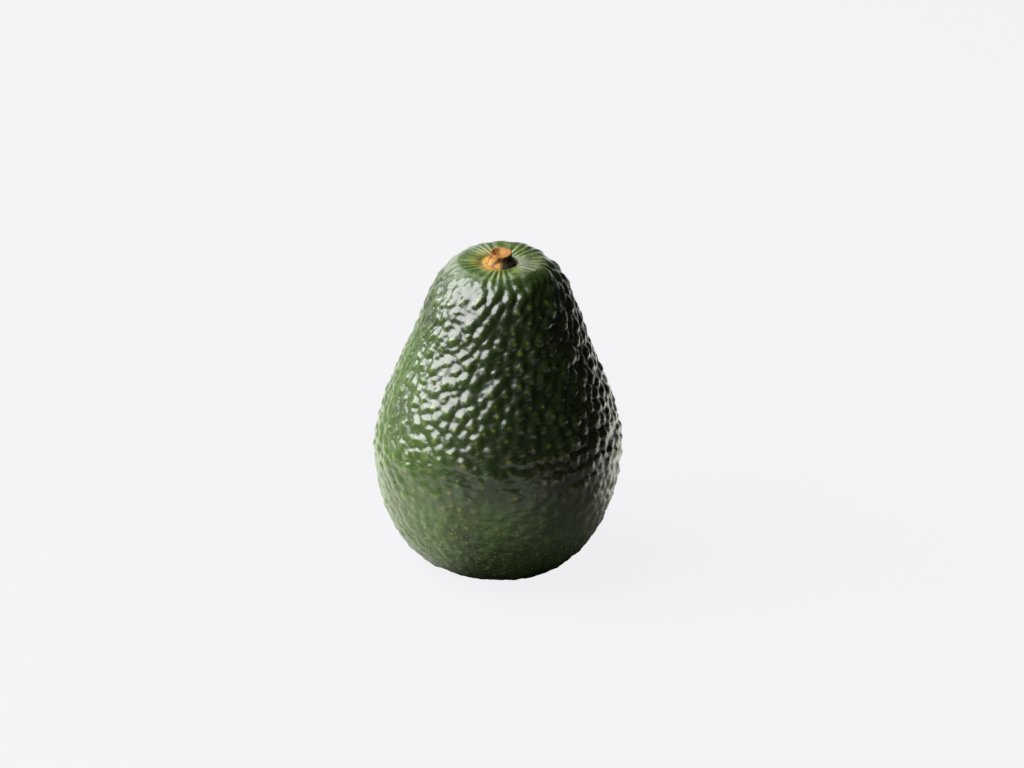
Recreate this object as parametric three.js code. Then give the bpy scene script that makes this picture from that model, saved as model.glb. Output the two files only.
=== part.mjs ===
// A whole avocado that stands on the small flat spot at its broad end, with the cut stub of its
// stem still seated in the dimple at the top. Its leathery skin is covered in rounded pebbles,
// which give way to fine ribs that run out from the stem.
//
// Millimetres, +Z up. The origin is the middle of the flat spot, and -Y faces the viewer.
// The fruit's smooth form is an outline turned about Z. Pebbles and ribs are raised from it by a
// formula, and the top of the neck is then tipped a little towards the viewer, as it grew.

import * as THREE from "three";
import { ConvexHull } from "three/addons/math/ConvexHull.js";

// The outline of the fruit, from the pit that holds the stem down to the flat spot
const PIT_RADIUS = 4.7;
const PIT_FLOOR = 91.1;
const PIT_MOUTH = 92.1;
const CROWN_RADIUS = 11.6; // the ring round the dimple, where the fruit is highest
const CROWN_HEIGHT = 92.8;
const DIMPLE_RISE = 20; // degrees that the dimple climbs at, away from the stem
const NECK_RADIUS = 21.8;
const NECK_HEIGHT = 79.1;
const NECK_TAPER = 18; // degrees that the side of the neck leans in
const BELLY_RADIUS = 35.5;
const BELLY_HEIGHT = 37.5;
const FOOT_RADIUS = 12.2; // the flat spot
const FOOT_RISE = 10.5; // degrees that the skin climbs at, away from the flat spot

// How far each stretch of the outline holds the direction that it starts or ends with
const DIMPLE_REACH = 2;
const CROWN_REACH = 4;
const SHOULDER_REACH = 7.6;
const NECK_REACH = 15;
const BELLY_REACH_UP = 11.6;
const BELLY_REACH_DOWN = 14;
const FOOT_REACH = 18;

// The top of the neck is tipped towards the viewer, and slid that way and a little to the right
const TIP_ANGLE = 7;
const TIP_FORWARD = 2;
const TIP_RIGHT = 1.1;
const TIP_START = 55; // heights between which the neck takes up its tip
const TIP_END = 92;

// Three slow swells wind round the fruit, so that it isn't perfectly round
const SWELL_HEIGHT = 0.3;
const SWELL_PITCH = 18;
const SWELLS_FULL = 12; // the distance from the pit, and from the flat spot, where they are full

// Pebbles of the skin, scattered along a spiral that turns by the golden angle from each to the
// next, then pushed apart where they crowd
const PEBBLE_SEED = 11;
const PEBBLE_COUNT = 1250;
const PEBBLE_SPACING = 4.2;
const PEBBLE_SCATTER = 4.5; // the furthest that a pebble strays from its place on the spiral
const PEBBLE_PASSES = 8;
const PEBBLE_PUSH = 0.2; // the share of its crowding that each pass moves a pebble by
const PEBBLE_HEIGHT = 0.9; // the largest pebbles where they stand fully out
const PEBBLE_FLATTEST = 0.45; // the share of that height that the smallest pebbles have
const PEBBLE_SPREAD = 0.3; // the smallest pebbles' bell width, as a share of the spacing
const PEBBLE_WIDER = 0.08; // how much more of the spacing the largest pebbles take
const PEBBLE_CREASE = 5; // how sharp the crease is where pebbles meet
const PEBBLE_STRETCH = 1.7; // how much longer than wide pebbles are at the top of the neck
const PEBBLE_SLANT = 26; // degrees that their length leans away from straight down the neck
const PEBBLE_SUNK = 0.5; // the share of the full height that lies inside the smooth form
const PEBBLE_REACH = 7; // how far from its top a pebble still lifts the skin
const PEBBLES_START = 6; // distances from the pit where pebbles begin, and where they are full
const PEBBLES_FULL = 12;
const PEBBLES_CLEAR = 1.2; // the distance from the flat spot where the last pebbles are
const PEBBLES_FADE = 5; // the distance from it where they begin to flatten
const ROUGH_SIDE = 0.3; // how much more pebbles stand out on the rough side, and less opposite
const ROUGH_TURN = 70; // degrees from the front round to the right, where that side is
const CALM_HEIGHT = 0.3; // the share of their height that pebbles keep in the calm patch
const CALM_TURN = 15; // the calm patch is low on the front, this many degrees to the right
const CALM_END = 30; // distances from the flat spot between which the calm patch fades out
const CALM_START = 60;

// Ribs that run out from the stem
const RIB_COUNT = 28;
const RIB_HEIGHT = 0.11;
const RIB_LOWER = 0.7; // how much lower the lowest ribs are, as a share
const RIB_WANDER = 1.9; // how far the ribs are from evenly spaced, in radians of their wave
const RIBS_FADE = 4; // distances from the pit where ribs begin to fade, and where they end
const RIBS_END = 17;
const RIBS_FURTHER_RIGHT = 5; // how much further ribs run down the right of the fruit
const RIB_RINGS = [0, 1.2, 2.8, 4.6, 6.6]; // distances from the pit at which ribs are drawn

// The stub of the stem: a flared foot, a waist, and a lip round the dish in its sloping cut end
const STUB_GAP = 0.3; // clear of the pit, all round and below
const STUB_EDGE = 0.7;
const STUB_WAIST_RADIUS = 3.1;
const STUB_WAIST_HEIGHT = 3.4;
const STUB_HEIGHT = 4;
const STUB_LIP = 0.3;
const STUB_DISH_RADIUS = 1.25;
const STUB_DISH_DEPTH = 1.2;
const STUB_DISH_LEFT = 0.55; // how far off the middle the dish lies
const STUB_DISH_BACK = 0.6;
const STUB_SLOPE = 0.08; // the rise of its cut end from front to back, as a share
const STUB_BEND = 0.1; // how far its top leans to the left
const STUB_SIDES = 32;
const STUB_WRINKLES = 9;
const STUB_WRINKLE_DEPTH = 0.08;

const OUTLINE_STEPS = 900;
const CURVE_STEPS = 5;
const FOOT_SIDES = 40;
const GOLDEN_ANGLE = Math.PI * (3 - Math.sqrt(5));

const { degToRad: radians, lerp, smoothstep, clamp } = THREE.MathUtils;

// Numbers from 0 to 1, the same ones on each run
function seededDraws(seed) {
  let state = seed;
  return () => {
    state = (state * 1664525 + 1013904223) % 2 ** 32;
    return state / 2 ** 32;
  };
}

// A curve that leaves its start and reaches its end in the directions given, each for its reach
function stretch(start, startAngle, startReach, end, endAngle, endReach) {
  const heading = (angle) => new THREE.Vector2(Math.cos(angle), Math.sin(angle));
  return new THREE.CubicBezierCurve(
    start,
    heading(startAngle).multiplyScalar(startReach).add(start),
    heading(endAngle).multiplyScalar(-endReach).add(end),
    end,
  );
}

function outlinePath() {
  const mouth = new THREE.Vector2(PIT_RADIUS, PIT_MOUTH);
  const crown = new THREE.Vector2(CROWN_RADIUS, CROWN_HEIGHT);
  const neck = new THREE.Vector2(NECK_RADIUS, NECK_HEIGHT);
  const belly = new THREE.Vector2(BELLY_RADIUS, BELLY_HEIGHT);
  const foot = new THREE.Vector2(FOOT_RADIUS, 0);
  const outOfPit = radians(DIMPLE_RISE);
  const level = 0;
  const downNeck = radians(NECK_TAPER - 90);
  const down = radians(-90);
  const inToFoot = radians(FOOT_RISE - 180);

  const path = new THREE.CurvePath();
  path.add(stretch(mouth, outOfPit, DIMPLE_REACH, crown, level, DIMPLE_REACH));
  path.add(stretch(crown, level, CROWN_REACH, neck, downNeck, SHOULDER_REACH));
  path.add(stretch(neck, downNeck, NECK_REACH, belly, down, BELLY_REACH_UP));
  path.add(stretch(belly, down, BELLY_REACH_DOWN, foot, inToFoot, FOOT_REACH));
  return path;
}

// Points of the outline. Each holds its distance down the skin from the pit, how far round and
// down a ball the same place is, and how much of the pebbled skin lies above it.
function outlinePoints() {
  const path = outlinePath();
  const spots = path.getSpacedPoints(OUTLINE_STEPS);
  const step = path.getLength() / OUTLINE_STEPS;
  const points = [];
  let ball = 0;
  let pebbled = 0;
  spots.forEach((spot, i) => {
    const before = spots[Math.max(i - 1, 0)];
    const after = spots[Math.min(i + 1, OUTLINE_STEPS)];
    const along = i * step;
    if (i > 0) ball += (2 * step) / (spot.x + before.x);
    if (along > PEBBLES_START) pebbled += step * spot.x;
    const heading = after.clone().sub(before).normalize();
    points.push({ along, radius: spot.x, height: spot.y, heading, ball, pebbled });
  });
  return points;
}

const outline = outlinePoints();
const skinLength = outline.at(-1).along;
const ballMiddle = outline.at(-1).ball / 2;

// The outline where the named quantity has the given value
function outlineAt(quantity, value) {
  let low = 0;
  let high = OUTLINE_STEPS;
  while (high - low > 1) {
    const middle = (low + high) >> 1;
    if (outline[middle][quantity] <= value) low = middle;
    else high = middle;
  }
  const a = outline[low];
  const b = outline[high];
  const share = clamp((value - a[quantity]) / (b[quantity] - a[quantity]), 0, 1);
  return {
    along: lerp(a.along, b.along, share),
    radius: lerp(a.radius, b.radius, share),
    height: lerp(a.height, b.height, share),
    ball: lerp(a.ball, b.ball, share),
    heading: a.heading.clone().lerp(b.heading, share).normalize(),
  };
}

// A place on the skin is its distance down the skin from the pit and its turn round the fruit.
// Spread over a ball, small figures keep their shape, and the ball's middle is the skin's.
function toBall({ along, turn }) {
  const polar = 2 * Math.atan(Math.exp(outlineAt("along", along).ball - ballMiddle));
  return new THREE.Vector3().setFromSphericalCoords(1, polar, turn);
}

function fromBall(direction) {
  const { phi: polar, theta: turn } = new THREE.Spherical().setFromVector3(direction);
  const ball = Math.log(Math.tan(polar / 2)) + ballMiddle;
  return { along: outlineAt("ball", ball).along, turn };
}

// The smooth form's point at a place, with the directions out of the skin, down it and across it
function smoothForm({ along, turn }) {
  const { radius, height, heading } = outlineAt("along", along);
  const sine = Math.sin(turn);
  const cosine = Math.cos(turn);
  return {
    point: new THREE.Vector3(radius * sine, -radius * cosine, height),
    outward: new THREE.Vector3(-heading.y * sine, heading.y * cosine, heading.x),
    down: new THREE.Vector3(heading.x * sine, -heading.x * cosine, heading.y),
    across: new THREE.Vector3(cosine, sine, 0),
  };
}

// The share of their full height that pebbles have at a place
function pebbleGrowth({ along, turn }) {
  const nearStem = smoothstep(along, PEBBLES_START, PEBBLES_FULL);
  const aboveFoot = smoothstep(skinLength - along, CALM_END, CALM_START);
  const calm = (1 - aboveFoot) * (0.5 + 0.5 * Math.cos(turn - radians(CALM_TURN))) ** 2;
  const side = 1 + ROUGH_SIDE * Math.cos(turn - radians(ROUGH_TURN));
  return side * nearStem * lerp(1, CALM_HEIGHT, calm);
}

// A pebble's top at a place, with the direction of its length and how drawn out it is
function pebbleShape(place) {
  const { point, down, across } = smoothForm(place);
  const slant = radians(PEBBLE_SLANT);
  const inNeck = smoothstep(point.z, BELLY_HEIGHT, CROWN_HEIGHT);
  return {
    place,
    point,
    down,
    across,
    lengthwise: new THREE.Vector3()
      .addScaledVector(down, Math.cos(slant))
      .addScaledVector(across, -Math.sin(slant)),
    drawnOut: lerp(1, PEBBLE_STRETCH, inNeck),
  };
}

// The square of an offset's length, as it was before the pebble was drawn out along its length
function roundDistance2(offset, { lengthwise, drawnOut }) {
  const length = offset.dot(lengthwise);
  return (offset.lengthSq() - length ** 2 * (1 - 1 / drawnOut ** 2)) * drawnOut;
}

function scatterTops(draw) {
  const stray = () => PEBBLE_SCATTER * (2 * draw() - 1);
  const pebbled = outline.at(-1).pebbled;
  const tops = [];
  for (let i = 0; i < PEBBLE_COUNT; i++) {
    const spot = outlineAt("pebbled", (pebbled * (i + 0.5)) / PEBBLE_COUNT);
    const along = clamp(spot.along + stray(), PEBBLES_START, skinLength);
    const turn = i * GOLDEN_ANGLE + stray() / spot.radius;
    tops.push({ along, turn });
  }
  return tops;
}

// Moves each place away from those that are nearer to it than the pebbles' spacing
function pushApart(tops) {
  const shapes = tops.map(pebbleShape);
  const apart = new THREE.Vector3();
  return shapes.map((shape) => {
    const move = new THREE.Vector3();
    for (const other of shapes) {
      apart.subVectors(shape.point, other.point);
      if (other === shape || apart.length() > PEBBLE_REACH) continue;
      const distance = Math.sqrt(roundDistance2(apart, shape));
      const crowding = Math.max(PEBBLE_SPACING / distance - 1, 0);
      move.addScaledVector(apart, PEBBLE_PUSH * crowding);
    }
    const { along, turn } = shape.place;
    const moved = clamp(along + move.dot(shape.down), PEBBLES_START, skinLength);
    const turned = turn + move.dot(shape.across) / outlineAt("along", moved).radius;
    return { along: moved, turn: turned };
  });
}

function makePebbles() {
  const draw = seededDraws(PEBBLE_SEED);
  let tops = scatterTops(draw);
  for (let pass = 0; pass < PEBBLE_PASSES; pass++) tops = pushApart(tops);
  return tops.map((place) => {
    const size = draw();
    const height = lerp(PEBBLE_FLATTEST, 1, size);
    const width = PEBBLE_SPACING * (PEBBLE_SPREAD + PEBBLE_WIDER * size);
    return { ...pebbleShape(place), height, width };
  });
}

const pebbles = makePebbles();

// How far the pebbles lift the smooth form at a point. Each is bell shaped, and the skin follows
// the highest of them, with a crease where they meet.
function pebbleLift(point, place) {
  const offset = new THREE.Vector3();
  let sum = 0;
  for (const pebble of pebbles) {
    offset.subVectors(point, pebble.point);
    if (offset.lengthSq() > PEBBLE_REACH ** 2) continue;
    const bell = Math.exp(-roundDistance2(offset, pebble) / (2 * pebble.width ** 2));
    sum += (pebble.height * bell) ** PEBBLE_CREASE;
  }
  const level = sum ** (1 / PEBBLE_CREASE) - PEBBLE_SUNK;
  return level * PEBBLE_HEIGHT * pebbleGrowth(place);
}

// The wave that ribs follow round the stem, with a rib at each whole turn of it
function ribWave(turn) {
  return RIB_COUNT * turn + RIB_WANDER * (Math.sin(3 * turn + 1) + Math.sin(5 * turn));
}

function ribLift({ along, turn }) {
  const fromPit = smoothstep(along, 0, RIB_RINGS[2]);
  const end = RIBS_END + RIBS_FURTHER_RIGHT * Math.sin(turn);
  const toPebbles = 1 - smoothstep(along, RIBS_FADE, end);
  const lower = RIB_LOWER * (0.5 - 0.5 * Math.sin(5 * turn + 2));
  return RIB_HEIGHT * (1 - lower) * fromPit * toPebbles * Math.cos(ribWave(turn));
}

// Tips the top of the neck towards the viewer
function tipNeck(point) {
  const share = smoothstep(point.z, TIP_START, TIP_END);
  point.z += Math.tan(radians(TIP_ANGLE)) * point.y * share;
  point.y -= TIP_FORWARD * share;
  point.x += TIP_RIGHT * share;
  return point;
}

// The finished skin's point at a place. The lifts fade out at the pit and at the flat spot.
function skinPoint(place) {
  const { along, turn } = place;
  const { point, outward } = smoothForm(place);
  const fromFoot = skinLength - along;
  const swellShare = smoothstep(along, 0, SWELLS_FULL) * smoothstep(fromFoot, 0, SWELLS_FULL);
  const swell = SWELL_HEIGHT * swellShare * Math.sin(3 * turn + point.z / SWELL_PITCH);
  const pebbled = smoothstep(fromFoot, 0, PEBBLES_FADE) * pebbleLift(point, place);
  return tipNeck(point.addScaledVector(outward, swell + pebbled + ribLift(place)));
}

// Covers a ball with triangles between the given directions, as rows of three indices
function coverBall(directions) {
  const indexOf = new Map(directions.map((direction, i) => [direction, i]));
  return new ConvexHull().setFromPoints(directions).faces.map((face) => {
    const { edge } = face;
    return [edge, edge.next, edge.prev].map((side) => indexOf.get(side.head().point));
  });
}

// A ring of places at a distance from the pit, on each rib and in each furrow
function ribRing(along) {
  const places = [];
  for (let i = 0; i < 2 * RIB_COUNT; i++) {
    const wave = Math.PI * i;
    let turn = wave / RIB_COUNT;
    for (let pass = 0; pass < 12; pass++) turn += (wave - ribWave(turn)) / RIB_COUNT;
    places.push({ along, turn });
  }
  return places;
}

// Places on each pebble's top, and in each valley where three pebbles meet
function pebblePlaces() {
  const tops = pebbles.map(({ place }) => place);
  const directions = tops.map(toBall);
  const valleys = coverBall(directions).map((corners) => {
    const middle = new THREE.Vector3();
    corners.forEach((corner) => middle.add(directions[corner]));
    return fromBall(middle.normalize());
  });
  const clearOfRibs = RIB_RINGS.at(-1) + 1;
  const clearOfFoot = skinLength - PEBBLES_CLEAR;
  return [...tops, ...valleys].filter(({ along }) => along > clearOfRibs && along < clearOfFoot);
}

function footRing() {
  const places = [];
  for (let i = 0; i < FOOT_SIDES; i++) {
    places.push({ along: skinLength, turn: (2 * Math.PI * i) / FOOT_SIDES });
  }
  return places;
}

function fruitGeometry() {
  const places = [...RIB_RINGS.flatMap(ribRing), ...pebblePlaces(), ...footRing()];
  const points = places.map(skinPoint);
  const directions = places.map(toBall);

  // The floor of the pit, as a ring under its mouth and a middle, and the middle of the flat spot
  const towardsPole = new THREE.Vector3(0, 0.02, 0);
  for (const place of ribRing(0)) {
    points.push(tipNeck(smoothForm(place).point.setZ(PIT_FLOOR)));
    directions.push(toBall(place).add(towardsPole).normalize());
  }
  points.push(tipNeck(new THREE.Vector3(0, 0, PIT_FLOOR)), new THREE.Vector3(0, 0, 0));
  directions.push(new THREE.Vector3(0, 1, 0), new THREE.Vector3(0, -1, 0));

  const geometry = new THREE.BufferGeometry().setFromPoints(points);
  geometry.setIndex(coverBall(directions).flat());
  geometry.computeVertexNormals();
  return geometry;
}

function stubGeometry() {
  const foot = PIT_RADIUS - STUB_GAP;
  const lipInside = STUB_WAIST_RADIUS - STUB_LIP;
  const floor = STUB_HEIGHT - STUB_DISH_DEPTH;
  const side = new THREE.Path();
  side.moveTo(0, 0);
  side.lineTo(foot, 0);
  side.lineTo(foot, STUB_EDGE);
  side.bezierCurveTo(foot, 2 * STUB_EDGE, STUB_WAIST_RADIUS, 2 * STUB_EDGE,
    STUB_WAIST_RADIUS, STUB_WAIST_HEIGHT);
  side.quadraticCurveTo(STUB_WAIST_RADIUS, STUB_HEIGHT, lipInside, STUB_HEIGHT);
  side.quadraticCurveTo(STUB_DISH_RADIUS, STUB_HEIGHT, STUB_DISH_RADIUS, (STUB_HEIGHT + floor) / 2);
  side.quadraticCurveTo(STUB_DISH_RADIUS, floor, 0, floor);

  const geometry = new THREE.LatheGeometry(side.getPoints(CURVE_STEPS), STUB_SIDES);
  geometry.rotateX(Math.PI / 2);
  const position = geometry.getAttribute("position");
  for (let i = 0; i < position.count; i++) {
    const [x, y, z] = [position.getX(i), position.getY(i), position.getZ(i)];
    const radius = Math.hypot(x, y);
    const share = smoothstep(z, STUB_EDGE, STUB_WAIST_HEIGHT);
    const inDish = share * (1 - smoothstep(radius, STUB_DISH_RADIUS, STUB_WAIST_RADIUS));
    const wrinkle = STUB_WRINKLE_DEPTH * share * Math.cos(STUB_WRINKLES * Math.atan2(y, x));
    const grown = 1 - wrinkle / STUB_WAIST_RADIUS;
    position.setXYZ(
      i,
      x * grown - STUB_BEND * share - STUB_DISH_LEFT * inDish,
      y * grown + STUB_DISH_BACK * inDish,
      z + STUB_SLOPE * y * share,
    );
  }
  geometry.computeVertexNormals();
  return geometry;
}

function makeFruit() {
  const skin = new THREE.MeshStandardMaterial({ color: 0x34481d, roughness: 0.35, metalness: 0 });
  const fruit = new THREE.Mesh(fruitGeometry(), skin);
  fruit.name = "fruit";
  return fruit;
}

function makeStem() {
  const wood = new THREE.MeshStandardMaterial({ color: 0xb98350, roughness: 0.7, metalness: 0 });
  const stem = new THREE.Mesh(stubGeometry(), wood);
  stem.name = "stem";
  stem.position.set(TIP_RIGHT, -TIP_FORWARD, PIT_FLOOR + STUB_GAP);
  stem.rotation.x = radians(TIP_ANGLE);
  return stem;
}

const group = new THREE.Group();
group.add(makeFruit(), makeStem());

export default group;
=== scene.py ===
"""Dresses a whole avocado on a pale floor: its pebbled skin, and the cut stub of its stem."""

import math

import bpy
import numpy as np
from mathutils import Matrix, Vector, noise


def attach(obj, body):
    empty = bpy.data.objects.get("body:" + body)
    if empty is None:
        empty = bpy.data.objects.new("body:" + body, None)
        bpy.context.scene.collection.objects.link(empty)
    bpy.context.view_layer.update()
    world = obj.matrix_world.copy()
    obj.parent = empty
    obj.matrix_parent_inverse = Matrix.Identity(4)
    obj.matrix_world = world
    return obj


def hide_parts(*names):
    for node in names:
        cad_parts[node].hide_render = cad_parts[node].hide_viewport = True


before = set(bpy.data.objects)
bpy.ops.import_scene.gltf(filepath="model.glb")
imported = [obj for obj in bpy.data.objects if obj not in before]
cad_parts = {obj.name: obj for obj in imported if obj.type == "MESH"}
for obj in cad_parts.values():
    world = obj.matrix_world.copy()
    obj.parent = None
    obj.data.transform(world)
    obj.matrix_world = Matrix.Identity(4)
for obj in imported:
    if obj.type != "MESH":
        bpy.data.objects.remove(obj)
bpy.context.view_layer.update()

MM = 0.001

# Sizes of the fruit and its stub are in millimetres, and those of the room are in metres. The
# viewer is in front, towards -Y. A turn round the fruit starts in front and goes to the right.

# The outline of the fruit, from the pit that holds the stem down to the flat spot
PIT_RADIUS = 4.7
PIT_FLOOR = 91.1
PIT_MOUTH = 92.1
CROWN_RADIUS = 11.6
CROWN_HEIGHT = 92.8
DIMPLE_RISE = 20
NECK_RADIUS = 21.8
NECK_HEIGHT = 79.1
NECK_TAPER = 18
BELLY_RADIUS = 35.5
BELLY_HEIGHT = 37.5
FOOT_RADIUS = 12.2
FOOT_RISE = 10.5
DIMPLE_REACH = 2
CROWN_REACH = 4
SHOULDER_REACH = 7.6
NECK_REACH = 15
BELLY_REACH_UP = 11.6
BELLY_REACH_DOWN = 14
FOOT_REACH = 18
CURVE_STEPS = 400
OUTLINE_STEPS = 900

# The tip of the neck towards the viewer, and the slow swells round the fruit
TIP_ANGLE = math.radians(7)
TIP_FORWARD = 2
TIP_RIGHT = 1.1
TIP_START = 55
TIP_END = 92
SWELL_COUNT = 3
SWELL_HEIGHT = 0.3
SWELL_PITCH = 18
SWELL_FADE = 12

# Pebbles of the skin
PEBBLE_SEED = 11
PEBBLE_COUNT = 1250
PEBBLE_SPACING = 4.2
PEBBLE_SCATTER = 4.5
PEBBLE_PASSES = 8
PEBBLE_PUSH = 0.2
PEBBLE_HEIGHT = 0.9
PEBBLE_FLATTEST = 0.45
PEBBLE_SPREAD = 0.3
PEBBLE_WIDER = 0.08
PEBBLE_CREASE = 5
PEBBLE_STRETCH = 1.7
PEBBLE_SLANT = math.radians(26)
PEBBLE_SUNK = 0.5
PEBBLE_REACH = 7
PEBBLE_CLOSEST = 0.001
PEBBLES_START = 6
PEBBLES_FULL = 12
ROUGH_SIDE = 0.3
ROUGH_TURN = math.radians(70)
CALM_HEIGHT = 0.3
CALM_TURN = math.radians(15)
CALM_END = 30
CALM_START = 60
GOLDEN_ANGLE = math.pi * (3 - math.sqrt(5))

# Ribs round the stem
RIB_COUNT = 28
RIB_HEIGHT = 0.11
RIB_WANDER = 1.9
RIB_UNEVEN = 0.35
RIB_RISE_END = 2.8
RIBS_FADE = 4
RIBS_END = 17
RIBS_FURTHER_RIGHT = 5

# Wrinkles over the pebbles: small ones, and broader ones that run round the lower part
CRINKLE_HEIGHT = 0.2
CRINKLE_SIZE = (1.5, 1.5, 1.0)
WAVE_HEIGHT = 0.18
WAVE_SIZE = (4.5, 4.5, 1.8)
WAVES_START = 48
WAVES_FULL = 64

# Where pebbles and wrinkles flatten out towards the flat spot
RELIEF_FADE = 5

# How far the specks lie off the tops of their pebbles
SPECK_LOWER = 0.5
SPECK_UNEVEN = 0.6

# The lip of skin that closes round the stub, as radii and heights
LIP = [(4.6, PIT_FLOOR), (4.45, 91.9), (4.47, 92.1), (4.56, 92.16)]

# How finely the skin is drawn, and the rings of the flat spot as shares of its radius
SKIN_COLUMNS = 392
SKIN_ROWS = 240
FLAT_RINGS = (0.75, 0.5, 0.25)

# The stub of the stem
STUB_GAP = 0.3
STUB_FOOT = PIT_FLOOR + STUB_GAP
STUB_RADIUS = PIT_RADIUS - STUB_GAP
STUB_EDGE = 0.7
STUB_WAIST_RADIUS = 3.1
STUB_WAIST_HEIGHT = 3.4
STUB_HEIGHT = 4
STUB_LIP = 0.3
STUB_DISH_RADIUS = 1.25
STUB_DISH_DEPTH = 1.2
STUB_DISH_MIDDLE = 0.3
STUB_DISH_LEFT = 0.55
STUB_DISH_BACK = 0.6
STUB_SLOPE = 0.08
STUB_BEND = 0.1
STUB_SIDES = 144
STUB_FOOT_ROWS = 5
STUB_SIDE_ROWS = 26
STUB_LIP_ROWS = 9
STUB_DISH_ROWS = 14

# Fibres down the stub's side, and the grain of its wood
FIBRES_ROUND = 4
FIBRE_PITCH = 0.35
FIBRE_DEPTH = 0.12
GRAIN_PITCH = 3
GRAIN_DEPTH = 0.04

# Where the stub has painted shade and where it is cut, the first three as depths below its top
STUB_SHADE_FADE = 0.7
STUB_SHADE_END = 0.3
CUT_EDGE = 0.2
CUT_RADIUS = 2
CUT_LOWEST = 1
STUB_SHADE_TURN = 0.2
STUB_SHADE_FULL = 0.4

# Where each colour of the skin is full and where it ends, as distances from the pit
SKIN_SHADE_REACH = (65, 85)
STEM_GREENS = (6, 16)
RAYS = (1, 10)
ORANGE_RAYS = (0.5, 5)
COLLAR = (0.2, 1.2)
GREEN_SPECKS = (45, 75)
FINE_SPECKS = (90, 72)

# The same from side to side, as metres to the right: painted shade to the right, painted light to
# the left
SKIN_SHADE_RIGHT = (0.011, -0.022)
STEM_GREEN_LEFT = (-0.004, 0.018)
ORANGE_LEFT = (-0.005, 0.003)

# Specks, in metres but for how near the top of a pebble they show
SPECK_SMALLEST = 0.0004
SPECK_LARGER = 0.0004
SPECK_RAGGED = 0.0004
SPECK_EDGE = (-0.0003, 0.0005)
SPECK_NEAR_TOP = (1.0, 1.6)

# Finer specks, many to a metre, with their edges as shares of their spacing
FINE_SPECKS_PER_METRE = 850
FINE_SPECK_EDGE = (0.08, 0.3)

# How strongly the skin's colours show
SKIN_SHADE_SHARE = 0.83
STEM_GREEN_SHARE = 0.5
SPECK_SHARE = 0.34
FINE_SPECK_SHARE = 0.36

# The camera, what it looks at, and where the lights point
CAMERA_LENS = 135
CAMERA_ELEVATION = math.radians(20)
CAMERA_DISTANCE = 1.097
LOOK_AT = Vector((0.0042, 0, 0.055))
LIT_PLACE = Vector((0, 0, 0.05))
WINDOW_DISTANCE = 2.5

# The floor, and the part of it near the fruit, which glows with painted light and ends in front and
# to the right
FLOOR_RADIUS = 8
FLOOR_GLOW = 0.946
NEAR_RADIUS = 1.5
NEAR_DEPTH = 0.0005
NEAR_GLOW = 0.95
NEAR_TINT = (0.95, 1, 0.84)
NEAR_FRONT = -0.21
NEAR_RIGHT = 0.2
NEAR_BLUR = 0.012

# The fruit's painted shadow on the floor, and the painted contact shadow where it stands
SHADOW_TURN = math.radians(25)
SHADOW_NARROW = 0.02
SHADOW_WIDE = 0.08
SHADOW_START = 0.02
SHADOW_SHARE = 0.78
CONTACT_START = 0.02
CONTACT_END = 0.055
CONTACT_LEFT = (-0.04, 0)
CONTACT_LEFT_SMALLER = 0.035

# Where the floor near the fruit has painted shade or painted pools of light, as where each part is
# full and ends
FAR_LEFT = (-0.15, -0.1)
FAR_LEFT_BACK = (0, 0.05)
FAR_LEFT_DARKER = 0.6
NEAR_LEFT = (-0.07, -0.02)
NEAR_LEFT_END = (-0.1, -0.15)
NEAR_LEFT_BRIGHTER = 1.1
FAR_RIGHT = (0.08, 0.02)
FAR_RIGHT_BACK = (0.06, 0)
FAR_RIGHT_BRIGHTER = 1.1

# The room
BACK_EDGE = 0.4
BACK_LOW = 0.8
BACK_GLOW = 1.55
ROOM_GLOW = 0.01


def smoothstep(value, low, high):
    share = np.clip((value - low) / (high - low), 0, 1)
    return share * share * (3 - 2 * share)


def seeded_draws(seed):
    """Numbers from 0 to 1, the same ones on each run."""
    state = seed
    while True:
        state = (state * 1664525 + 1013904223) % 2 ** 32
        yield state / 2 ** 32


def curve(start, first, last, end, steps):
    """Points of a curve from its start to its end, drawn towards two points on its way."""
    start, first, last, end = (np.array(point, float) for point in (start, first, last, end))
    t = np.linspace(0, 1, steps)[:, None]
    return ((1 - t) ** 3 * start + 3 * (1 - t) ** 2 * t * first
            + 3 * (1 - t) * t ** 2 * last + t ** 3 * end)


def stretch(start, start_angle, start_reach, end, end_angle, end_reach):
    """Points of a curve that leaves its start and reaches its end in the directions given."""
    first = np.array(start) + start_reach * np.array([math.cos(start_angle), math.sin(start_angle)])
    last = np.array(end) - end_reach * np.array([math.cos(end_angle), math.sin(end_angle)])
    return curve(start, first, last, end, CURVE_STEPS)


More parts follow.
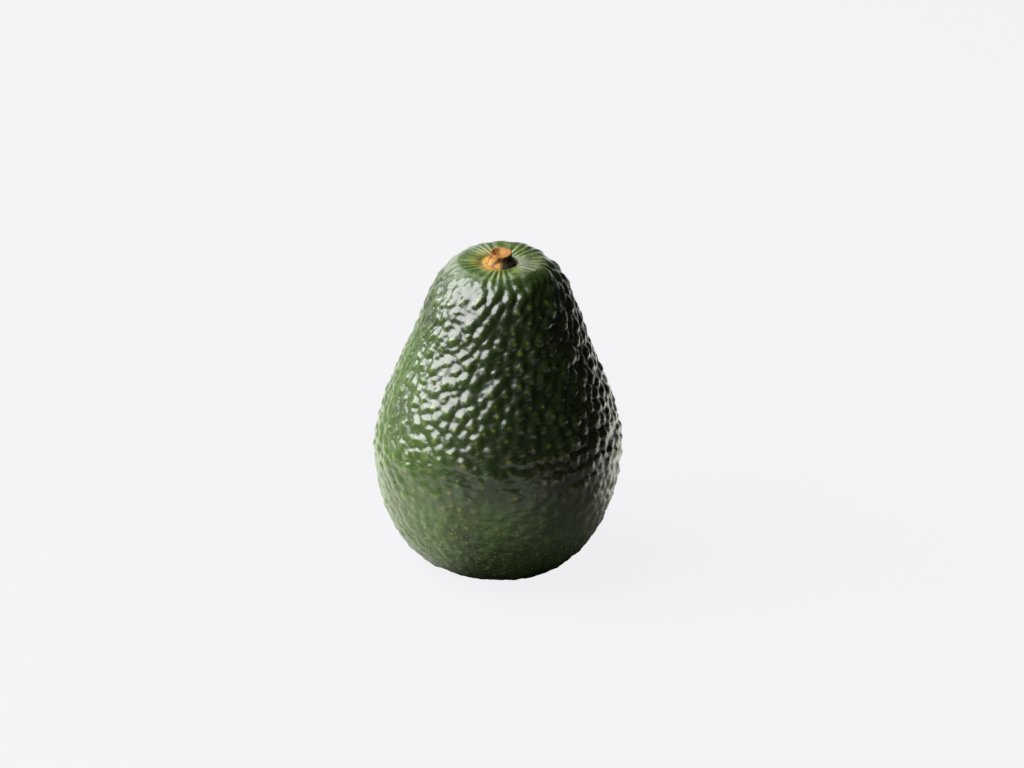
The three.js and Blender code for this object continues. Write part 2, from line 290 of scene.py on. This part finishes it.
class Outline:
    """The outline at even steps of its distance from the pit."""

    def __init__(self):
        mouth = (PIT_RADIUS, PIT_MOUTH)
        crown = (CROWN_RADIUS, CROWN_HEIGHT)
        neck = (NECK_RADIUS, NECK_HEIGHT)
        belly = (BELLY_RADIUS, BELLY_HEIGHT)
        foot = (FOOT_RADIUS, 0)
        out_of_pit = math.radians(DIMPLE_RISE)
        down_neck = math.radians(NECK_TAPER - 90)
        down = math.radians(-90)
        in_to_foot = math.radians(FOOT_RISE - 180)
        points = np.concatenate([
            stretch(mouth, out_of_pit, DIMPLE_REACH, crown, 0, DIMPLE_REACH),
            stretch(crown, 0, CROWN_REACH, neck, down_neck, SHOULDER_REACH)[1:],
            stretch(neck, down_neck, NECK_REACH, belly, down, BELLY_REACH_UP)[1:],
            stretch(belly, down, BELLY_REACH_DOWN, foot, in_to_foot, FOOT_REACH)[1:],
        ])
        lengths = np.hypot(*np.diff(points, axis=0).T)
        along = np.concatenate([[0], np.cumsum(lengths)])
        self.along = np.linspace(0, along[-1], OUTLINE_STEPS + 1)
        self.length = along[-1]
        self.radius = np.interp(self.along, along, points[:, 0])
        self.height = np.interp(self.along, along, points[:, 1])
        step = self.length / OUTLINE_STEPS
        outward, upward = np.gradient(self.radius), np.gradient(self.height)
        size = np.hypot(outward, upward)
        self.outward, self.upward = outward / size, upward / size
        # The skin's area so far, less the bare ring round the pit, so that pebbles spread evenly
        self.pebbled = np.cumsum(np.where(self.along > PEBBLES_START, self.radius * step, 0))

    def at(self, along):
        """Radius, height and heading, as its share outwards and its share upwards."""
        values = self.radius, self.height, self.outward, self.upward
        return [np.interp(along, self.along, value) for value in values]


outline = Outline()


def smooth_form(along, turn):
    """The smooth form's points, with the directions out of the skin, down it and across it."""
    radius, height, heading_out, heading_up = outline.at(along)
    sine, cosine = np.sin(turn), np.cos(turn)
    zero = np.zeros_like(sine * radius)
    point = np.stack([radius * sine, -radius * cosine, height + zero], -1)
    outward = np.stack([-heading_up * sine, heading_up * cosine, heading_out + zero], -1)
    down = np.stack([heading_out * sine, -heading_out * cosine, heading_up + zero], -1)
    across = np.stack([cosine + zero, sine + zero, zero], -1)
    return point, outward, down, across


def pebble_growth(along, turn):
    """The share of their full height that pebbles have at a place."""
    near_stem = smoothstep(along, PEBBLES_START, PEBBLES_FULL)
    above_foot = smoothstep(outline.length - along, CALM_END, CALM_START)
    calm = (1 - above_foot) * (0.5 + 0.5 * np.cos(turn - CALM_TURN)) ** 2
    side = 1 + ROUGH_SIDE * np.cos(turn - ROUGH_TURN)
    return side * near_stem * (1 - calm * (1 - CALM_HEIGHT))


def pebble_shape(along, turn):
    """Where pebbles' tops are, which way they are long, how much longer than wide they are, and
    the directions down the skin and across it."""
    point, _, down, across = smooth_form(along, turn)
    lengthwise = down * math.cos(PEBBLE_SLANT) - across * math.sin(PEBBLE_SLANT)
    in_neck = smoothstep(point[:, 2], BELLY_HEIGHT, CROWN_HEIGHT)
    return point, lengthwise, 1 + (PEBBLE_STRETCH - 1) * in_neck, down, across


def stretched_distance2(offset, lengthwise, stretched):
    """The square of a distance, as it was before a pebble's area was drawn out lengthwise."""
    length = (offset * lengthwise).sum(-1)
    shortened = (offset ** 2).sum(-1) - length ** 2 * (1 - 1 / stretched ** 2)
    return shortened * stretched


def pebble_places(draw):
    """Distances from the pit and turns of all pebbles: scattered along a spiral that turns by the
    golden angle from each to the next, then pushed apart where they crowd."""
    count = np.arange(PEBBLE_COUNT)
    share = (count + 0.5) / PEBBLE_COUNT
    spot = np.interp(share * outline.pebbled[-1], outline.pebbled, outline.along)
    scatter = PEBBLE_SCATTER * np.array([[2 * next(draw) - 1, 2 * next(draw) - 1] for _ in count])
    along = np.clip(spot + scatter[:, 0], PEBBLES_START, outline.length)
    turn = count * GOLDEN_ANGLE + scatter[:, 1] / outline.at(spot)[0]
    for _ in range(PEBBLE_PASSES):
        point, lengthwise, stretched, down, across = pebble_shape(along, turn)
        apart = point[:, None] - point[None]
        distance = np.sqrt(stretched_distance2(apart, lengthwise[:, None], stretched[:, None]))
        crowding = np.maximum(PEBBLE_SPACING / np.maximum(distance, PEBBLE_CLOSEST) - 1, 0)
        np.fill_diagonal(crowding, 0)
        move = PEBBLE_PUSH * (apart * crowding[..., None]).sum(1)
        along = np.clip(along + (move * down).sum(-1), PEBBLES_START, outline.length)
        turn = turn + (move * across).sum(-1) / outline.at(along)[0]
    return along, turn


class Pebbles:
    """The pebbles' places, forms and heights."""

    def __init__(self):
        draw = seeded_draws(PEBBLE_SEED)
        self.along, self.turn = pebble_places(draw)
        size = np.array([next(draw) for _ in range(PEBBLE_COUNT)])
        self.point, self.lengthwise, self.stretched, _, _ = pebble_shape(self.along, self.turn)
        self.height = PEBBLE_FLATTEST + (1 - PEBBLE_FLATTEST) * size
        self.width = PEBBLE_SPACING * (PEBBLE_SPREAD + PEBBLE_WIDER * size)

    def dome(self, i, points):
        """The height of a pebble's dome at points, and their squared distance from its top."""
        offset = points - self.point[i]
        shaped2 = stretched_distance2(offset, self.lengthwise[i], self.stretched[i])
        return self.height[i] * np.exp(-shaped2 / (2 * self.width[i] ** 2)), (offset ** 2).sum(-1)

    def raise_skin(self, along, points):
        """How far the pebbles raise each point of the skin, as a share of their full height,
        with the number of its nearest pebble and its distance from that pebble's top. Domes that
        meet do so at a crease. Rows of points lie at the distances given from the pit."""
        level = np.zeros(points.shape[:2])
        nearest2 = np.full(points.shape[:2], float(PEBBLE_REACH ** 2))
        nearest = np.zeros(points.shape[:2], int)
        for i, middle in enumerate(self.along):
            low, high = np.searchsorted(along, [middle - PEBBLE_REACH, middle + PEBBLE_REACH])
            dome, distance2 = self.dome(i, points[low:high])
            level[low:high] += np.where(distance2 < PEBBLE_REACH ** 2, dome ** PEBBLE_CREASE, 0)
            closer = distance2 < nearest2[low:high]
            nearest2[low:high][closer] = distance2[closer]
            nearest[low:high][closer] = i
        return level ** (1 / PEBBLE_CREASE) - PEBBLE_SUNK, nearest, np.sqrt(nearest2)


def rib_level(along, turn):
    """How far the ribs stand out of the skin at a place, from -1 to 1 of their height."""
    wave = np.cos(RIB_COUNT * turn + RIB_WANDER * (np.sin(3 * turn + 1) + np.sin(5 * turn)))
    unevenness = 1 - RIB_UNEVEN + RIB_UNEVEN * np.sin(5 * turn + 2)
    end = RIBS_END + RIBS_FURTHER_RIGHT * np.sin(turn)
    share = smoothstep(along, 0, RIB_RISE_END) * (1 - smoothstep(along, RIBS_FADE, end))
    return wave * unevenness * share


def swell_level(along, turn, height):
    """Slow swells round the fruit, none at the stem or the foot, in millimetres."""
    share = smoothstep(along, 0, SWELL_FADE) * smoothstep(outline.length - along, 0, SWELL_FADE)
    return SWELL_HEIGHT * share * np.sin(SWELL_COUNT * turn + height / SWELL_PITCH)


def tip_neck(points):
    """Tips the top of the neck towards the viewer."""
    share = smoothstep(points[..., 2], TIP_START, TIP_END)
    tipped = points.copy()
    tipped[..., 2] += math.tan(TIP_ANGLE) * points[..., 1] * share
    tipped[..., 1] -= TIP_FORWARD * share
    tipped[..., 0] += TIP_RIGHT * share
    return tipped


def add_mesh(name, points, faces):
    """A smooth shaded mesh object. Points are in millimetres."""
    mesh = bpy.data.meshes.new(name)
    mesh.from_pydata((np.asarray(points) * MM).tolist(), [], faces)
    mesh.polygons.foreach_set("use_smooth", [True] * len(mesh.polygons))
    mesh.update()
    piece = bpy.data.objects.new(name, mesh)
    bpy.context.scene.collection.objects.link(piece)
    return piece


def closed_grid(rows, columns):
    """Faces of a grid that closes on itself across, with a middle point at its first and last
    row, as the last two points. Rows run down, and columns run round to the right."""
    faces = []
    first_middle = rows * columns
    for column in range(columns):
        beside = (column + 1) % columns
        faces.append((first_middle, column, beside))
        last = (rows - 1) * columns
        faces.append((first_middle + 1, last + beside, last + column))
        for row in range(rows - 1):
            a, b = row * columns + column, row * columns + beside
            faces.append((a, a + columns, b + columns, b))
    return faces


def set_floats(piece, name, values):
    attribute = piece.data.attributes.new(name, "FLOAT", "POINT")
    attribute.data.foreach_set("value", np.asarray(values, np.float32).ravel())


def set_vectors(piece, name, values):
    attribute = piece.data.attributes.new(name, "FLOAT_VECTOR", "POINT")
    attribute.data.foreach_set("vector", np.asarray(values, np.float32).ravel())


def wrinkles(points, size):
    """Seeded smooth wrinkles of a size across, deep and high, from -1 to 1."""
    flat = points.reshape(-1, 3) / size
    values = [noise.noise(Vector(point)) for point in flat]
    return np.array(values).reshape(points.shape[:-1])


def wrinkle_level(along, points):
    """Small wrinkles over all pebbles and broader ones round the lower part, in millimetres."""
    broad = smoothstep(along, WAVES_START, WAVES_FULL) * wrinkles(points, WAVE_SIZE)
    level = CRINKLE_HEIGHT * wrinkles(points, CRINKLE_SIZE) + WAVE_HEIGHT * broad
    return smoothstep(along, PEBBLES_START, PEBBLES_FULL) * level


def speck_places(skin, pebbles):
    """The places on the skin of all pebbles' specks, each a little off its pebble's top."""
    along = pebbles.along + SPECK_LOWER * (1 + SPECK_UNEVEN * np.cos(7 * pebbles.turn))
    turn = pebbles.turn + SPECK_LOWER * np.sin(5 * pebbles.along) / BELLY_RADIUS
    row = np.rint(along / outline.length * (SKIN_ROWS - 1)).astype(int)
    column = np.rint(turn / (2 * math.pi) * SKIN_COLUMNS).astype(int) % SKIN_COLUMNS
    return skin[np.clip(row, 0, SKIN_ROWS - 1), column]


def padded(values, lip, flat):
    """Values of the skin's rows, with one value for its lip before and one for the flat spot
    after, the last two being for the middle points."""
    blank = np.zeros_like(values[:1])
    rows = np.concatenate([*[blank + lip] * len(LIP), values, *[blank + flat] * len(FLAT_RINGS)])
    rows = rows.reshape(-1, *values.shape[2:])
    return np.concatenate([rows, blank[0, :1] + lip, blank[0, :1] + flat])


def make_skin():
    """The fruit's skin, with each pebble and rib raised as on the solid, but finely drawn."""
    rows_along = np.linspace(0, outline.length, SKIN_ROWS)
    turns = np.linspace(0, 2 * math.pi, SKIN_COLUMNS, endpoint=False)
    along, turn = np.meshgrid(rows_along, turns, indexing="ij")
    points, outward, _, _ = smooth_form(along, turn)

    pebbles = Pebbles()
    raised, nearest, from_top = pebbles.raise_skin(rows_along, points)
    lift = PEBBLE_HEIGHT * pebble_growth(along, turn) * raised + wrinkle_level(along, points)
    ribs = rib_level(along, turn)
    level = smoothstep(outline.length - along, 0, RELIEF_FADE) * lift + RIB_HEIGHT * ribs
    level += swell_level(along, turn, points[..., 2])
    skin = tip_neck(points + outward * level[..., None])

    mouth = np.stack([np.sin(turns), -np.cos(turns), np.ones(SKIN_COLUMNS)], -1)
    lip_rows = [tip_neck(mouth * (radius, radius, height)) for radius, height in LIP]
    flat_rows = [skin[-1] * share for share in FLAT_RINGS]
    middles = [tip_neck(np.array([0.0, 0, PIT_FLOOR])), np.zeros(3)]
    rows = [*lip_rows, *skin, *flat_rows]
    piece = add_mesh("avocado_skin", np.concatenate([*rows, middles]),
                     closed_grid(len(rows), SKIN_COLUMNS))

    set_floats(piece, "from_pit", padded(along, 0, outline.length))
    set_floats(piece, "lift", padded(lift, 0, 0))
    set_floats(piece, "rib", padded(ribs, 0, 0))
    set_floats(piece, "from_top", padded(from_top, PEBBLE_REACH, PEBBLE_REACH))
    set_vectors(piece, "speck", padded(speck_places(skin, pebbles)[nearest] * MM, 0, 0))
    return piece


def stub_outline():
    """Radii and heights up the stub's side, over its lip and down into its dish."""
    foot, waist, dish = STUB_RADIUS, STUB_WAIST_RADIUS, STUB_DISH_RADIUS
    lip = waist - STUB_LIP
    edge, narrow, top = STUB_EDGE, STUB_WAIST_HEIGHT, STUB_HEIGHT
    bottom = STUB_HEIGHT - STUB_DISH_DEPTH
    return np.concatenate([
        np.linspace((foot, 0), (foot, edge), STUB_FOOT_ROWS),
        curve((foot, edge), (foot, 2 * edge), (waist, 2 * edge), (waist, narrow),
              STUB_SIDE_ROWS)[1:],
        curve((waist, narrow), (waist, top), (waist, top), (lip, top), STUB_LIP_ROWS)[1:],
        curve((lip, top), (dish, top), (dish, bottom), (STUB_DISH_MIDDLE, bottom),
              STUB_DISH_ROWS)[1:],
    ])


def lean_stub(points):
    """The stub's points with its cut end sloping, its dish off centre and its neck bent left."""
    share = smoothstep(points[:, 2], STUB_EDGE, STUB_WAIST_HEIGHT)
    from_middle = np.hypot(points[:, 0], points[:, 1])
    inner = share * (1 - smoothstep(from_middle, STUB_DISH_RADIUS, STUB_WAIST_RADIUS))
    leaning = points.copy()
    leaning[:, 2] += STUB_SLOPE * points[:, 1] * share
    leaning[:, 0] -= STUB_BEND * share + STUB_DISH_LEFT * inner
    leaning[:, 1] += STUB_DISH_BACK * inner
    return leaning


def fibres(points):
    """Long shallow grooves down the stub's side, and a rough grain on its cut end."""
    moves = []
    for x, y, z in points:
        turn = math.atan2(y, x)
        sine, cosine = math.sin(turn), math.cos(turn)
        share = float(smoothstep(z, 0, STUB_EDGE))
        groove = noise.noise(Vector((FIBRES_ROUND * cosine, FIBRES_ROUND * sine, FIBRE_PITCH * z)))
        grain = noise.noise(Vector((x, y, z)) * GRAIN_PITCH)
        out = share * (FIBRE_DEPTH * groove + GRAIN_DEPTH * grain)
        moves.append((cosine * out, sine * out, share * GRAIN_DEPTH * grain))
    return np.array(moves)


def mark_stub(piece, points):
    """Marks the painted shade on the stub's side away from the light, and its cut end with the
    dish.
    """
    x, y, height = points.T
    # Painted shade on the side away from the light, fading out below the lip
    rightward = (x - STUB_SHADE_TURN * y) / STUB_RADIUS
    below_lip = 1 - smoothstep(height, STUB_HEIGHT - STUB_SHADE_FADE, STUB_HEIGHT - STUB_SHADE_END)
    set_floats(piece, "painted_shade", smoothstep(rightward, 0, STUB_SHADE_FULL) * below_lip)
    in_dish = np.hypot(x + STUB_BEND, y) < CUT_RADIUS
    on_cut = smoothstep(height, STUB_WAIST_HEIGHT, STUB_HEIGHT - CUT_EDGE) + in_dish
    set_floats(piece, "cut", np.clip(on_cut, 0, 1) * (height > CUT_LOWEST))


def make_stub():
    """The cut stub, with a flared foot, a fibrous side and a rough dish in its cut end."""
    turn = np.linspace(0, 2 * math.pi, STUB_SIDES, endpoint=False)
    round_stub = np.stack([np.sin(turn), -np.cos(turn), np.ones(STUB_SIDES)], -1)
    rows = [round_stub * (radius, radius, height) for radius, height in stub_outline()[::-1]]
    middles = [(0, 0, STUB_HEIGHT - STUB_DISH_DEPTH), (0, 0, 0)]
    points = lean_stub(np.concatenate([*rows, middles]))
    points += fibres(points)
    sine, cosine = math.sin(TIP_ANGLE), math.cos(TIP_ANGLE)
    tipped = points @ np.array([[1, 0, 0], [0, cosine, sine], [0, -sine, cosine]])
    tipped += (TIP_RIGHT, -TIP_FORWARD, STUB_FOOT)
    piece = add_mesh("avocado_stub", tipped, closed_grid(len(rows), STUB_SIDES))
    mark_stub(piece, points)
    return piece


class Shade:
    """An output of a material's nodes. Sums and products of these add Math nodes."""

    def __init__(self, tree, socket=None):
        self.tree = tree
        self.socket = socket

    def node(self, kind, settings=None, inputs=None, output=0):
        """Adds a node and gives one of its outputs. Inputs are values or other outputs."""
        node = self.tree.nodes.new(kind)
        for name, value in (settings or {}).items():
            setattr(node, name, value)
        for name, value in (inputs or {}).items():
            if isinstance(value, Shade):
                self.tree.links.new(value.socket, node.inputs[name])
            else:
                node.inputs[name].default_value = value
        return None if output is None else Shade(self.tree, node.outputs[output])

    def result(self, operation, *values):
        return self.node("ShaderNodeMath", {"operation": operation}, dict(enumerate(values)))

    def __add__(self, other):
        return self.result("ADD", self, other)

    def __radd__(self, other):
        return self.result("ADD", other, self)

    def __sub__(self, other):
        return self.result("SUBTRACT", self, other)

    def __rsub__(self, other):
        return self.result("SUBTRACT", other, self)

    def __mul__(self, other):
        return self.result("MULTIPLY", self, other)

    def __rmul__(self, other):
        return self.result("MULTIPLY", other, self)

    def between(self, none, full):
        """0 on the far side of none, 1 on the far side of full, and a smooth change between."""
        return self.node("ShaderNodeMapRange", {"interpolation_type": "SMOOTHSTEP"},
                         {"Value": self, "From Min": none, "From Max": full})

    def within(self, edges):
        """1 up to the first edge and 0 past the second, with a smooth change between."""
        full, end = edges
        return self.between(end, full)

    def mixed(self, first, second):
        """The first colour where this is 0 and the second where it is 1."""
        return self.node("ShaderNodeMix", {"data_type": "RGBA"}, {0: self, 6: first, 7: second}, 2)

    def part(self, axis):
        """A vector's X, Y or Z."""
        return self.node("ShaderNodeSeparateXYZ", inputs={"Vector": self}, output=axis)

    def attribute(self, name, output="Fac"):
        return self.node("ShaderNodeAttribute", {"attribute_name": name}, output=output)

    def noise(self, place, scale, detail):
        inputs = {"Vector": place, "Scale": scale, "Detail": detail}
        return self.node("ShaderNodeTexNoise", inputs=inputs)


def new_material(name):
    material = bpy.data.materials.new(name)
    material.use_nodes = True
    tree = material.node_tree
    tree.nodes.clear()
    return material, Shade(tree)


def finish_material(start, inputs):
    """Adds the surface shader and the output. Inputs are the shader's."""
    surface = start.node("ShaderNodeBsdfPrincipled", inputs=inputs)
    start.node("ShaderNodeOutputMaterial", inputs={"Surface": surface}, output=None)


def rgb(red, green, blue):
    """A colour from its sRGB values from 0 to 255."""
    def linear(value):
        value /= 255
        return value / 12.92 if value <= 0.04045 else ((value + 0.055) / 1.055) ** 2.4
    return (linear(red), linear(green), linear(blue), 1)


DEEP_GREEN = rgb(26, 37, 12)
LEAF_GREEN = rgb(54, 78, 19)
SHADE_GREEN = rgb(15, 19, 9)
STEM_GREEN = rgb(50, 76, 22)
RAY_YELLOW = rgb(98, 110, 44)
RAY_ORANGE = rgb(140, 100, 34)
COLLAR_CREAM = rgb(168, 128, 58)
SPECK_BROWN = rgb(122, 96, 40)
SPECK_GREEN = rgb(104, 116, 44)
SPECK_PALE = rgb(150, 156, 84)
WOOD_TAN = rgb(140, 103, 42)
WOOD_BROWN = rgb(84, 44, 16)
WOOD_CUT = rgb(110, 70, 20)
WOOD_SHADE = rgb(18, 11, 7)
FLOOR_PALE = rgb(243, 243, 245)
FLOOR_DARK = rgb(38, 38, 38)


def skin_green(start, place, from_pit):
    """Mottled green, lighter on raised parts, with painted shade making it much darker on the side
    away from the light.
    """
    blotches = start.noise(place, scale=60, detail=4).between(0.3, 0.7)
    raised = start.attribute("lift").between(-0.2, 0.45)
    green = (blotches * 0.45 + raised * 0.5).mixed(DEEP_GREEN, LEAF_GREEN)
    # Painted shade: darker green on the right, the side away from the light
    rightward = (place.part("X") + blotches * 0.01).within(SKIN_SHADE_RIGHT)
    return (rightward * from_pit.within(SKIN_SHADE_REACH) * SKIN_SHADE_SHARE).mixed(green, SHADE_GREEN)


def with_specks(start, place, from_pit, colour):
    """Adds a soft ochre speck near the top of most pebbles, greener near the stem, and many
    finer specks over the lower part."""
    speck = start.attribute("speck", "Vector")
    ends = {0: place, 1: speck}
    to_speck = start.node("ShaderNodeVectorMath", {"operation": "DISTANCE"}, ends, "Value")
    size = start.noise(speck, scale=900, detail=0).between(0.3, 0.7) * SPECK_LARGER
    seen = start.noise(speck, scale=400, detail=0).between(0.4, 0.6)
    ragged = to_speck + start.noise(place, scale=2500, detail=2) * SPECK_RAGGED
    near_top = start.attribute("from_top").within(SPECK_NEAR_TOP)
    spot = (ragged - size - SPECK_SMALLEST).within(SPECK_EDGE) * near_top * seen * SPECK_SHARE
    tint = from_pit.within(GREEN_SPECKS).mixed(SPECK_BROWN, SPECK_GREEN)

    cells = start.node("ShaderNodeTexVoronoi", inputs={
        "Vector": place, "Scale": FINE_SPECKS_PER_METRE})
    fine = cells.within(FINE_SPECK_EDGE) * from_pit.within(FINE_SPECKS) * FINE_SPECK_SHARE
    return fine.mixed(spot.mixed(colour, tint), SPECK_PALE)


def with_rays(start, place, from_pit, colour):
    """Adds yellow rays round the stem. A lighter green near the stem, orange rays and a cream
    collar are the fruit's own colours, shown on the lit side alone as painted light.
    """
    rightward = place.part("X")
    mottle = start.noise(place, scale=300, detail=3).between(0.35, 0.65)
    streaks = start.attribute("rib") * 0.25 + mottle * 0.5 + 0.1
    # Painted light: these colours show on the lit left side alone
    near_stem = from_pit.within(STEM_GREENS) * rightward.within(STEM_GREEN_LEFT)
    colour = (near_stem * STEM_GREEN_SHARE).mixed(colour, STEM_GREEN)
    colour = (from_pit.within(RAYS) * streaks).mixed(colour, RAY_YELLOW)
    leftward = rightward.within(ORANGE_LEFT)
    colour = (from_pit.within(ORANGE_RAYS) * streaks * leftward).mixed(colour, RAY_ORANGE)
    return (from_pit.within(COLLAR) * leftward).mixed(colour, COLLAR_CREAM)


def skin_material():
    """Glossy green skin with specks, rays round the stem and a fine uneven grain."""
    material, start = new_material("avocado_skin")
    place = start.node("ShaderNodeTexCoord", output="Object")
    from_pit = start.attribute("from_pit")
    colour = skin_green(start, place, from_pit)
    colour = with_specks(start, place, from_pit, colour)
    colour = with_rays(start, place, from_pit, colour)
    grain = start.noise(place, scale=1500, detail=2)
    height = grain * 0.12 + start.noise(place, scale=420, detail=3)
    normal = start.node("ShaderNodeBump", inputs={
        "Strength": 0.32, "Distance": 0.0004, "Height": height})
    finish_material(start, {
        "Base Color": colour,
        "Roughness": grain * 0.1 + 0.235,
        "Normal": normal,
        "IOR": 1.52,
    })
    return material


def wood_material():
    """Mottled tan wood, paler on its cut end, with painted shade making it nearly black on the side
    away from the light.
    """
    material, start = new_material("stem_wood")
    place = start.node("ShaderNodeTexCoord", output="Object")
    mottle = start.noise(place, scale=700, detail=4).between(0.4, 0.65)
    colour = mottle.mixed(WOOD_TAN, WOOD_BROWN)
    colour = (start.attribute("cut") * 0.6).mixed(colour, WOOD_CUT)
    # Painted shade: nearly black on the side away from the light
    colour = (start.attribute("painted_shade") * 0.96).mixed(colour, WOOD_SHADE)
    grain = start.noise(place, scale=1500, detail=4)
    normal = start.node("ShaderNodeBump", inputs={
        "Strength": 0.5, "Distance": 0.0003, "Height": grain})
    finish_material(start, {
        "Base Color": colour,
        "Roughness": 0.65,
        "Normal": normal,
        "Specular IOR Level": 0.25,
    })
    return material


def add_camera():
    data = bpy.data.cameras.new("camera")
    data.lens = CAMERA_LENS
    data.clip_end = 20
    camera = bpy.data.objects.new("camera", data)
    bpy.context.scene.collection.objects.link(camera)
    away = Vector((0, -math.cos(CAMERA_ELEVATION), math.sin(CAMERA_ELEVATION)))
    camera.location = LOOK_AT + away * CAMERA_DISTANCE
    camera.rotation_euler = away.to_track_quat("Z", "Y").to_euler()
    bpy.context.scene.camera = camera


def add_window(name, azimuth, elevation, size, radiance):
    """A soft rectangular light. Azimuth is degrees to the left of the viewer, seen from above."""
    data = bpy.data.lights.new(name, "AREA")
    data.shape = "RECTANGLE"
    data.size, data.size_y = size
    data.energy = radiance * math.pi * size[0] * size[1]
    light = bpy.data.objects.new(name, data)
    bpy.context.scene.collection.objects.link(light)
    azimuth, elevation = math.radians(azimuth), math.radians(elevation)
    away = Vector((-math.sin(azimuth) * math.cos(elevation),
                   -math.cos(azimuth) * math.cos(elevation), math.sin(elevation)))
    light.location = LIT_PLACE + away * WINDOW_DISTANCE
    light.rotation_euler = away.to_track_quat("Z", "Y").to_euler()


def add_disc(name, radius, height, material):
    bpy.ops.mesh.primitive_circle_add(vertices=128, radius=radius, fill_type="NGON",
                                      location=(0, 0, height))
    disc = bpy.context.object
    disc.name = name
    disc.data.materials.append(material)
    return disc


def finish_glow(start, colour, strength):
    """A dark matt surface that gives off light."""
    finish_material(start, {
        "Base Color": FLOOR_DARK,
        "Roughness": 1.0,
        "Specular IOR Level": 0.0,
        "Emission Color": colour,
        "Emission Strength": strength,
    })


def add_floor():
    """A pale floor to look at, which neither lights the fruit nor shows in its gloss."""
    material, start = new_material("floor")
    finish_glow(start, FLOOR_PALE, FLOOR_GLOW)
    floor = add_disc("floor", FLOOR_RADIUS, 0, material)
    floor.visible_diffuse = False
    floor.visible_glossy = False
    floor.visible_shadow = False


def floor_light(start, place):
    """How bright the painted light of the floor near the fruit is, with the fruit's painted shadow,
    a painted contact shadow and painted pools of light.
    """
    right, back = place.part("X"), place.part("Y")
    card = back.between(NEAR_FRONT - NEAR_BLUR, NEAR_FRONT + NEAR_BLUR)
    card = card * right.between(NEAR_RIGHT + NEAR_BLUR, NEAR_RIGHT - NEAR_BLUR)

    down_shadow = right * math.cos(SHADOW_TURN) - back * math.sin(SHADOW_TURN)
    across_shadow = right * math.sin(SHADOW_TURN) + back * math.cos(SHADOW_TURN)
    shadow = down_shadow.between(-SHADOW_START, SHADOW_START)
    shadow = shadow * start.result("ABSOLUTE", across_shadow).between(SHADOW_WIDE, SHADOW_NARROW)
    away = start.node("ShaderNodeVectorMath", {"operation": "LENGTH"}, {0: place}, "Value")
    contact = away + right.within(CONTACT_LEFT) * CONTACT_LEFT_SMALLER
    shaded = (1 - shadow * SHADOW_SHARE) * contact.between(CONTACT_START, CONTACT_END)

    far_left = right.within(FAR_LEFT) * back.within(FAR_LEFT_BACK)
    near_left = right.within(NEAR_LEFT) * right.within(NEAR_LEFT_END)
    far_right = right.within(FAR_RIGHT) * back.within(FAR_RIGHT_BACK)
    brighter = 1 + near_left * NEAR_LEFT_BRIGHTER + far_right * FAR_RIGHT_BRIGHTER
    return card * shaded * (1 - far_left * FAR_LEFT_DARKER) * brighter


def add_near_floor():
    """The part of the floor that lights the fruit from below and shows in its gloss. It glows with
    painted light and painted shadow.
    """
    material, start = new_material("floor_near")
    light = floor_light(start, start.node("ShaderNodeTexCoord", output="Object"))
    # A green tint as painted bounce light from the fruit
    tinted = {channel: light * share for channel, share in enumerate(NEAR_TINT)}
    finish_glow(start, start.node("ShaderNodeCombineColor", inputs=tinted), NEAR_GLOW)
    near = add_disc("floor_near", NEAR_RADIUS, -NEAR_DEPTH, material)
    near.visible_camera = False


def add_world():
    """Pale to look at. It lights the fruit from behind alone, and is dark elsewhere."""
    world = bpy.data.worlds.new("world")
    world.use_nodes = True
    bpy.context.scene.world = world
    tree = world.node_tree
    tree.nodes.clear()
    start = Shade(tree)
    direct = start.node("ShaderNodeLightPath", output="Is Camera Ray")
    direction = start.node("ShaderNodeTexCoord", output="Generated")
    behind = (direction.part("Y") - direction.part("Z") * BACK_LOW).between(BACK_EDGE, 1)
    light = behind * BACK_GLOW + ROOM_GLOW
    strength = direct * (1 - light) + light
    glow = start.node("ShaderNodeBackground", inputs={"Color": FLOOR_PALE, "Strength": strength})
    start.node("ShaderNodeOutputWorld", inputs={"Surface": glow}, output=None)


bpy.context.scene.view_settings.view_transform = "Standard"
add_camera()
add_world()
add_window("window", azimuth=70, elevation=44, size=(2.55, 2.6), radiance=13.5)
add_window("low_window", azimuth=99, elevation=17, size=(1.0, 0.95), radiance=9)
add_window("side_window", azimuth=147, elevation=38, size=(1.8, 2.6), radiance=3.2)
add_floor()
add_near_floor()

skin = make_skin()
skin.data.materials.append(skin_material())
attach(skin, "root")
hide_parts("fruit")

stub = make_stub()
stub.data.materials.append(wood_material())
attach(stub, "root")
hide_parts("stem")
